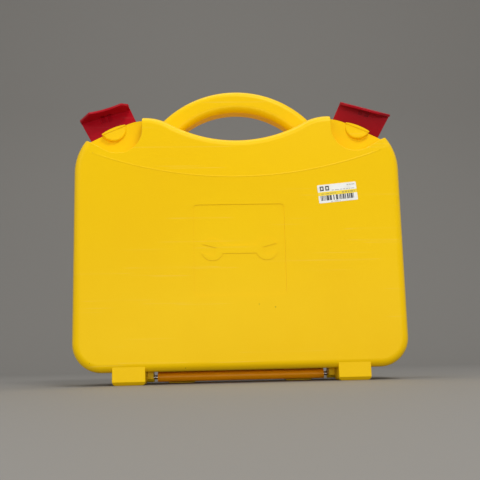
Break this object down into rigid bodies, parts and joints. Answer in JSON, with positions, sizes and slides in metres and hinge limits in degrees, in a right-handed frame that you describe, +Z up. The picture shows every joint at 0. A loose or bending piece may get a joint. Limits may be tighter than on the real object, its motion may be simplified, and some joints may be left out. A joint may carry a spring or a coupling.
{
  "type": "hard toolbox with tray",
  "caption": "Hard moulded carrying case for tools, with a split handle, two corner latches, a bottom hinge and a lift-out sorting tray.",
  "frame": {"origin": "on the floor under the middle of the case, on the parting plane between its halves", "axes": "+X along the width, to the right seen from the front; +Y from the front half to the rear half; +Z up"},
  "size_m": [0.3362, 0.0842, 0.307],
  "materials": {
    "case_plastic": "satin moulded polypropylene",
    "hinge_plastic": "satin moulded polypropylene",
    "latch_plastic": "semi-gloss moulded plastic",
    "tray_plastic": "fine textured",
    "steel": "zinc plated",
    "label_paper": "coated paper"
  },
  "bodies": {
    "rear_half": {"rear_shell": "case_plastic", "rear_handle_half": "case_plastic", "rear_handle_screws": "steel", "hinge_barrel": "hinge_plastic", "hinge_rod": "steel", "hinge_screws": "steel", "left_latch_pin": "steel", "right_latch_pin": "steel"},
    "front_half": {"front_shell": "case_plastic", "front_handle_half": "case_plastic", "front_handle_screws": "steel", "price_label": "label_paper"},
    "left_latch": {"left_latch": "latch_plastic"},
    "right_latch": {"right_latch": "latch_plastic"},
    "tray": {"sorting_tray": "tray_plastic", "tray_divider_1": "tray_plastic", "tray_divider_2": "tray_plastic", "tray_divider_3": "tray_plastic", "tray_divider_4": "tray_plastic"}
  },
  "joints": [
    {"name": "case_hinge", "type": "hinge", "parent": "rear_half", "child": "front_half", "pos_m": [0, 0, 0.0066], "axis": [1, 0, 0], "range_deg": [0, 175]},
    {"name": "left_latch_hinge", "type": "hinge", "parent": "rear_half", "child": "left_latch", "pos_m": [-0.12566, 0.005, 0.25712], "axis": [0.8949, 0, 0.4462], "range_deg": [-5, 90]},
    {"name": "right_latch_hinge", "type": "hinge", "parent": "rear_half", "child": "right_latch", "pos_m": [0.12566, 0.005, 0.25712], "axis": [0.8949, 0, -0.4462], "range_deg": [-29, 66]},
    {"name": "tray_lift", "type": "slide", "parent": "rear_half", "child": "tray", "axis": [0, -1, 0], "range_m": [0, 0.038]}
  ]
}
